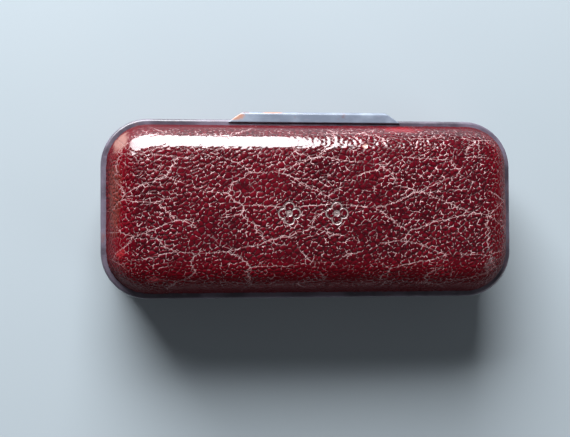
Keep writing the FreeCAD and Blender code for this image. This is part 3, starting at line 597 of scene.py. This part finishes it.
NODE_FINISHES = {
    "base_core": tray_wood,
    "lid_core": tray_wood,
    "bottom_panel": under_paper,
    "base_rim": rim_leather,
    "lid_rim": rim_leather,
    "locating_lip": ivory_satin,
    "lid_lining_strip": ivory_satin,
    "bed_board": straw_board,
    "lid_pad_board": straw_board,
    "roll_core_front": straw_board,
    "roll_core_back": straw_board,
    "lid_wadding": straw_board,
}
BRASS_NODES = (
    "lock_case",
    "lock_plate",
    "lock_plate_pins",
    "button_collar",
    "hinge_leaf_base",
    "hinge_brads_base",
    "hinge_pin",
    "hinge_leaf_lid",
    "hinge_brads_lid",
    "strike_plate",
    "strike_plate_pins",
    "strike_hook",
    "push_button",
    "lock_bolt",
)
NODE_FINISHES.update({name: brass_metal for name in BRASS_NODES})
for node_name, finish in NODE_FINISHES.items():
    dress(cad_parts[node_name].data, finish)


# ---------------------------------------------------------------------------------------------------------
# Leather covers
# ---------------------------------------------------------------------------------------------------------

# The leather's thickness, and how fine the mesh of each cover is.
LEATHER = 0.7
LID_VOXEL = 0.27
BASE_VOXEL = 0.3
# How near the cover's open edge a flat face has to lie to be taken off, and how level a flat face is.
FLAT_REACH = 0.162
LEVEL = 0.9
# The mesh round the stamps is divided this many times, above this height.
STAMP_DIVISIONS = 2
STAMPED_ABOVE = 21.5

# The case's corner radius in plan, and half of the straight-sided middle that the corners leave, in metres.
CORNER = 9.6 * MM
RIM_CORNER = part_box("lid_rim")[1]
MIDDLE_X, MIDDLE_Y = RIM_CORNER.x - CORNER, RIM_CORNER.y - CORNER
# The lid's leather folds down from a little below the crown, more and more over a reach out from the middle,
# and this share of the drop is laid out flat.
FOLD_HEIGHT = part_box("lid_leather")[1].z - 0.8 * MM
FOLD_REACH = 4.0
FOLD_SHARE = 0.8


def open_cover(piece, height, above):
    """Takes off the flat faces at a height and turns the cut edge in by the leather's thickness.

    above is whether the cover lies above that height.
    """

    def change(bm):
        def is_flat(face):
            return face.normal.z < -LEVEL if above else face.normal.z > LEVEL

        reach = FLAT_REACH * MM
        doomed = [f for f in bm.faces if is_flat(f) and abs(f.calc_center_median().z - height) < reach]
        bmesh.ops.delete(bm, geom=doomed, context="FACES")
        rim = [e for e in bm.edges if e.is_boundary]
        turned = bmesh.ops.extrude_edge_only(bm, edges=rim)["geom"]
        inner = [v for v in turned if isinstance(v, bmesh.types.BMVert)]
        for vert in inner:
            out = Vector((vert.normal.x, vert.normal.y, 0.0)).normalized()
            vert.co -= out * LEATHER * MM

    edit(piece, change)


def refine_stamps(piece):
    """Divides the mesh finely round the two stamps."""
    near = (STAMP_REACH + STAMP_MARGIN) * MM

    def on_stamp(edge):
        middle = (edge.verts[0].co + edge.verts[1].co) / 2
        beside = [abs(middle.x - x * MM) < near and abs(middle.y - y * MM) < near for x, y in STAMPS]
        return middle.z > STAMPED_ABOVE * MM and any(beside)

    def change(bm):
        for division in range(STAMP_DIVISIONS):
            chosen = [edge for edge in bm.edges if on_stamp(edge)]
            bmesh.ops.subdivide_edges(bm, edges=chosen, cuts=1, use_grid_fill=True)

    edit(piece, change)


def corner_offset(point):
    """The nearest point of the straight-sided middle, and the way from it out to the point."""
    near_x = max(-MIDDLE_X, min(MIDDLE_X, point.x))
    near_y = max(-MIDDLE_Y, min(MIDDLE_Y, point.y))
    return Vector((near_x, near_y)), Vector((point.x - near_x, point.y - near_y))


def lid_hide(point):
    """The lid's leather laid flat: its sides folded out round the crown."""
    near, offset = corner_offset(point)
    if offset.length < SAME_PLACE:
        return Vector((point.x, point.y, 0.0)) / MM
    drop = max(0.0, FOLD_HEIGHT - point.z)
    fold = min(1.0, offset.length / (FOLD_REACH * MM))
    out = offset.length + FOLD_SHARE * drop * fold
    flat = near + offset.normalized() * out
    return Vector((flat.x, flat.y, 0.0)) / MM


def base_hide(point):
    """The base's leather laid flat: a strip round the sides, with its seam at the back."""
    near, offset = corner_offset(point)
    turn = math.atan2(abs(offset.x), -offset.y) if offset.length > SAME_PLACE else 0.0
    run = abs(near.x) + CORNER * turn + (near.y + MIDDLE_Y)
    if offset.y > 0.0 and abs(offset.x) < SAME_PLACE:
        run = 2.0 * MIDDLE_X + CORNER * math.pi + 2.0 * MIDDLE_Y - abs(near.x)
    fall = point.z - max(0.0, CORNER - offset.length)
    return Vector((math.copysign(run, point.x), fall, 0.0)) / MM


def lay_flat(piece, flatten):
    """Stores where each point of the cover lies on the flat hide, for the relief and the finish to read."""
    layer = piece.data.attributes.new("hide", "FLOAT_VECTOR", "POINT")
    for vert, entry in zip(piece.data.vertices, layer.data):
        entry.vector = flatten(vert.co)


def grain_cover(piece, flatten, stamped, leather):
    """Raises the grain on a cover and gives it its leather."""
    lay_flat(piece, flatten)
    raise_grain(piece, stamped)
    shade_smooth(piece)
    dress(piece.data, leather)


def lid_cover():
    cover = even_mesh(hull_of("lid_cover", "lid_leather"), LID_VOXEL)
    open_cover(cover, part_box("lid_leather")[0].z, True)
    refine_stamps(cover)
    grain_cover(cover, lid_hide, True, lid_leather)
    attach(cover, "lid")
    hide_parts("lid_leather")


def base_cover():
    cover = even_mesh(hull_of("base_cover", "base_leather"), BASE_VOXEL)
    open_cover(cover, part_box("base_leather")[1].z, False)
    grain_cover(cover, base_hide, False, base_leather)
    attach(cover, "base")
    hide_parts("base_leather")


lid_cover()
base_cover()


# ---------------------------------------------------------------------------------------------------------
# Spine
# ---------------------------------------------------------------------------------------------------------

SPINE_VOXEL = 0.16
# Facets of the spine that turn by less than this, in radians, are one flat face.
SAME_FACE = 0.02


def spine():
    bm = form_of("hinge_spine")
    bmesh.ops.dissolve_limit(bm, angle_limit=SAME_FACE, verts=bm.verts, edges=bm.edges)
    cover = even_mesh(finished("hinge_cover", bm), SPINE_VOXEL)
    shade_smooth(cover)
    dress(cover.data, spine_leather_and_sheen)
    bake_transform(cover)
    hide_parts("hinge_spine")


spine()


# ---------------------------------------------------------------------------------------------------------
# Spring of the lock
# ---------------------------------------------------------------------------------------------------------


def bowed_spring():
    """The leaf spring. In the lock it flattens against the back of the lock case as the button goes in; here
    it keeps the shape of its node.
    """
    spring = finished("bowed_spring", form_of("bolt_spring"), steel)
    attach(spring, "base")
    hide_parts("bolt_spring")
    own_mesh(spring)


bowed_spring()


# ---------------------------------------------------------------------------------------------------------
# Velvet rolls and satin pad
# ---------------------------------------------------------------------------------------------------------

# The cloth is worked out at ten times the case's size, where its forces behave.
CLOTH_SCALE = 10.0
CLOTH_STEPS = 20
# The air pressure in the cloth, and the most that a point swells.
PAD_PRESSURE = 3.0
PAD_SWELL = 0.14
# A stuffed piece starts this far inside its node.
PAD_INSET = 0.16
PAD_VOXEL = 0.42


def puff(piece, still):
    """Lets cloth pressure swell the piece. still picks out the points that stay put.

    A point only moves outwards, so an edge that the cloth pulls in doesn't bare the wadding.
    """
    start = [vert.co.copy() for vert in piece.data.vertices]
    outward = [vert.normal.copy() for vert in piece.data.vertices]
    for vert in piece.data.vertices:
        vert.co *= CLOTH_SCALE
    held = piece.vertex_groups.new(name="held")
    held.add([v.index for v, place in zip(piece.data.vertices, start) if still(place)], 1.0, "REPLACE")
    cloth = piece.modifiers.new("cloth", "CLOTH")
    cloth.settings.quality = 6
    cloth.settings.mass = 0.3
    cloth.settings.tension_stiffness = 12.0
    cloth.settings.compression_stiffness = 8.0
    cloth.settings.bending_stiffness = 0.08
    cloth.settings.shrink_min = -0.05
    cloth.settings.use_pressure = True
    cloth.settings.uniform_pressure_force = PAD_PRESSURE
    cloth.settings.vertex_group_mass = held.name
    cloth.settings.effector_weights.gravity = 0.0
    cloth.point_cache.frame_end = CLOTH_STEPS
    for step in range(1, CLOTH_STEPS + 1):
        scene.frame_set(step)
    applied(piece)
    piece.vertex_groups.clear()
    for vert, place, direction in zip(piece.data.vertices, start, outward):
        swelling = (vert.co / CLOTH_SCALE - place).dot(direction)
        vert.co = place + direction * max(0.0, min(swelling, PAD_SWELL * MM))
    scene.frame_set(1)


def shrink(piece):
    """Moves the surface in along its normals."""

    def change(bm):
        bm.normal_update()
        for vert in bm.verts:
            vert.co -= vert.normal * PAD_INSET * MM

    edit(piece, change)


def near_bottom(node, depth):
    """Picks out the points within a depth of the node's underside."""
    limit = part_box(node)[0].z + depth * MM
    return lambda place: place.z < limit


def near_top(node, depth):
    """Picks out the points within a depth of the node's top."""
    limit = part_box(node)[1].z - depth * MM
    return lambda place: place.z > limit


def soft_piece(name, node, body, finish, still):
    """A stuffed piece in the space of a CAD node. still picks out the points that are glued down."""
    piece = even_mesh(hull_of(name, node), PAD_VOXEL)
    shrink(piece)
    puff(piece, still)
    smooth = piece.modifiers.new("smooth", "SUBSURF")
    smooth.levels = smooth.render_levels = 1
    applied(piece)
    shade_smooth(piece)
    dress(piece.data, finish)
    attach(piece, body)
    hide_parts(node)


for place_name in ("front", "back"):
    roll_node = "velvet_roll_" + place_name
    roll_still = near_bottom(roll_node, 0.9)
    soft_piece(place_name + "_roll", roll_node, "base", blue_velvet, roll_still)
soft_piece("lid_pad", "satin_cover", "lid", ivory_satin, near_top("satin_cover", 0.4))


# ---------------------------------------------------------------------------------------------------------
# Floor, light and camera
# ---------------------------------------------------------------------------------------------------------


def floor():
    bm = bmesh.new()
    bmesh.ops.create_grid(bm, x_segments=8, y_segments=8, size=1.5)
    made, graph, place = material("floor_paper")
    cloud = graph.noise(place, 60.0, 2.0)
    colour = graph.blend(cloud, paint(150, 159, 165), paint(158, 166, 171))
    surface(graph, colour, graph.ramp(cloud, 0.0, 1.0, 0.85, 0.9))
    finished("floor", bm, made)


def area_light(name, place, aim, size, power, colour=(1.0, 1.0, 1.0)):
    lamp = bpy.data.lights.new(name, "AREA")
    lamp.shape = "RECTANGLE"
    lamp.size, lamp.size_y = size
    lamp.energy = power
    lamp.color = colour
    holder = bpy.data.objects.new(name, lamp)
    holder.location = place
    holder.rotation_euler = (Vector(aim) - Vector(place)).to_track_quat("-Z", "Y").to_euler()
    scene.collection.objects.link(holder)


def lights():
    centre = (0.0, 0.0, 0.018)
    area_light("window", (-0.16, 0.58, 0.33), centre, (0.58, 0.54), 20.0, (0.94, 0.97, 1.0))
    area_light("left_fill", (-0.9, -0.6, 0.45), centre, (0.5, 0.5), 0.15)
    area_light("right_fill", (0.9, -0.55, 0.45), centre, (0.5, 0.5), 2.2, (0.9, 0.95, 1.0))
    world = bpy.data.worlds.new("studio")
    world.use_nodes = True
    background = world.node_tree.nodes["Background"]
    background.inputs["Color"].default_value = (0.85, 0.92, 1.0, 1.0)
    background.inputs["Strength"].default_value = 0.08
    scene.world = world


def camera():
    """Almost straight above the case, leaning a little to its left and its front."""
    eye, aim = Vector((-0.0363, -0.0096, 0.2602)), Vector((-0.0051, -0.0020, 0.0164))
    roll = math.radians(-0.3)
    lens = bpy.data.cameras.new("camera")
    lens.lens, lens.sensor_width = 75.8, 36.0
    lens.clip_start, lens.clip_end = 0.01, 10.0
    holder = bpy.data.objects.new("camera", lens)
    backward = (eye - aim).normalized()
    rightward = Vector((0.0, 1.0, 0.0)).cross(backward).normalized()
    upward = backward.cross(rightward)
    turn = Matrix((rightward, upward, backward)).transposed() @ Matrix.Rotation(roll, 3, "Z")
    holder.matrix_world = Matrix.Translation(eye) @ turn.to_4x4()
    scene.collection.objects.link(holder)
    scene.camera = holder


floor()
lights()
camera()
scene.view_settings.view_transform = "Standard"
